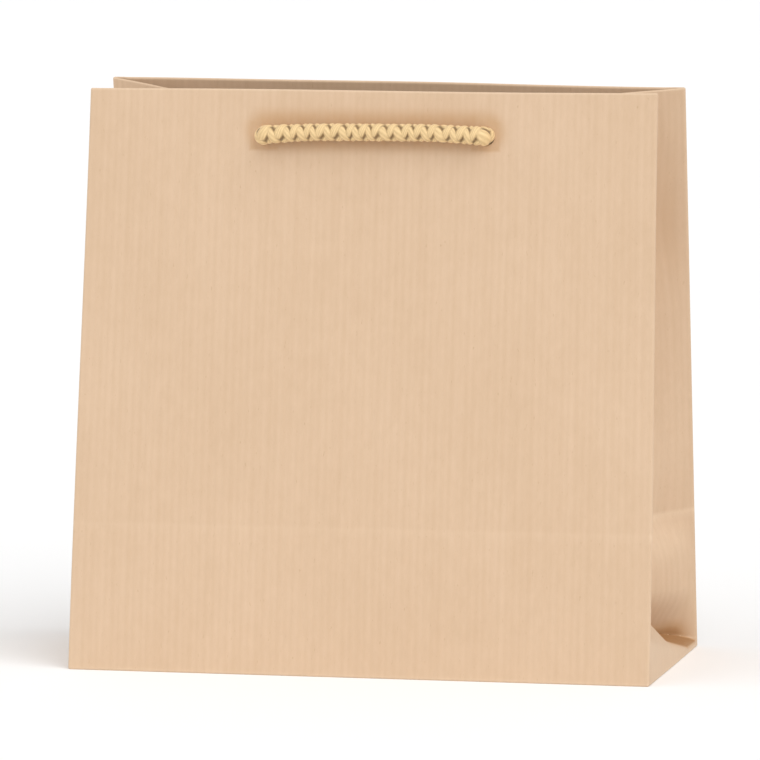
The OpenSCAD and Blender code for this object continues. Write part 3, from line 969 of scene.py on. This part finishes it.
def add_base():
    reach = HALF_D + FLAP_OVERLAP / 2 - FOLD_IN
    step_at = HALF_D - FLAP_OVERLAP / 2 - FOLD_IN

    def back_rise(s):
        return HALF_T + 0 * s

    def front_rise(s):
        """It steps up onto the back flap."""
        return HALF_T + 1.04 * PAPER * smoothstep((s - step_at + 3.2) / 2.6)

    def side_rise(s):
        return 2 * PAPER + HALF_T + 0.05 * smoothstep(s / 8)

    edge = HALF_D - FOLD_IN
    side_reach = SIDE_FLAP - FOLD_IN
    side_edge = HALF_W - FOLD_IN
    # shown is -1 where the outer face of the paper looks down, and 1 where the inner face looks up
    for word, width, length, turn, place, rise, shown in (
        ("front", 2 * HALF_W, reach, 0.0, (0, -edge, 0), front_rise, -1),
        ("back", 2 * HALF_W, reach, math.pi, (0, edge, 0), back_rise, -1),
        ("left", 2 * HALF_D, side_reach, -math.pi / 2, (-side_edge, 0, 0), side_rise, 1),
        ("right", 2 * HALF_D, side_reach, math.pi / 2, (side_edge, 0, 0), side_rise, 1),
    ):
        middle, x, y = flap_grid(width, length, turn, rise)
        materials = [KRAFT, KRAFT_IN] if shown < 0 else [KRAFT_IN, KRAFT]
        flap = add_sheet(f"base_{word}_fold", middle + np.array(place), (0, 0, shown), x, y + FLAP_PATTERN,
                         materials, FLAP_WEAR * hump(y, length, 0.8))
        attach(flap, "base")
        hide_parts(f"base_{word}_flap")


SEAM_W = 12.0


def add_seam():
    """The glued strip that joins the two ends of the sheet, inside the back wall's left edge."""
    a = np.linspace(-CARD_HALF_W, SEAM_W - CARD_HALF_W, 13)[None]
    u = np.linspace(4.0, HEM_V - 0.2, 116)[:, None]
    lap = 0.02 + 0.12 * smoothstep((a + 94) / 2.0)
    middle = wall_point(BACK, a + 0 * u, u + 0 * a, PAPER + HALF_T + lap + 0 * u)
    strip = add_sheet("back_seam_strip", middle, (0, -1, 0), a + 0 * u, u + 0 * a, [KRAFT_IN, KRAFT])
    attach(strip, "back_wall")
    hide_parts("back_seam_flap")


add_base()
add_seam()

for node in ("front_card", "back_card", "base_board"):
    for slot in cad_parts[node].material_slots:
        slot.material = BOARD


# ---- Floor and light ----
FLOOR_HALF = 25.0       # metres
WORLD_STRENGTH = 0.58


def add_floor():
    mesh = bpy.data.meshes.new("floor")
    corners = [(x * FLOOR_HALF, y * FLOOR_HALF, 0) for x, y in ((-1, -1), (1, -1), (1, 1), (-1, 1))]
    mesh.from_pydata(corners, [], [(0, 1, 2, 3)])
    floor = bpy.data.objects.new("floor", mesh)
    m, _, _, shader = node_material("floor")
    shader.inputs["Base Color"].default_value = (0.97, 0.97, 0.97, 1.0)
    shader.inputs["Roughness"].default_value = 0.9
    mesh.materials.append(m)
    bpy.context.scene.collection.objects.link(floor)


def add_light(name, strength, spread, towards):
    """A soft light like a large lamp far away. spread is its size in degrees, and towards points at it."""
    lamp = bpy.data.objects.new(name, bpy.data.lights.new(name, "SUN"))
    lamp.data.energy = strength
    lamp.data.angle = math.radians(spread)
    lamp.rotation_euler = Vector(towards).to_track_quat("Z", "Y").to_euler()
    bpy.context.scene.collection.objects.link(lamp)


def add_world():
    world = bpy.data.worlds.new("studio")
    bpy.context.scene.world = world
    world.use_nodes = True
    background = world.node_tree.nodes["Background"]
    background.inputs["Color"].default_value = (1.0, 1.0, 1.0, 1.0)
    background.inputs["Strength"].default_value = WORLD_STRENGTH


bpy.context.scene.view_settings.view_transform = "Standard"
add_floor()
add_light("key", 1.62, 60, (0.47, -0.42, 0.78))
add_light("fill", 0.6, 70, (-0.70, -0.50, 0.50))
add_world()
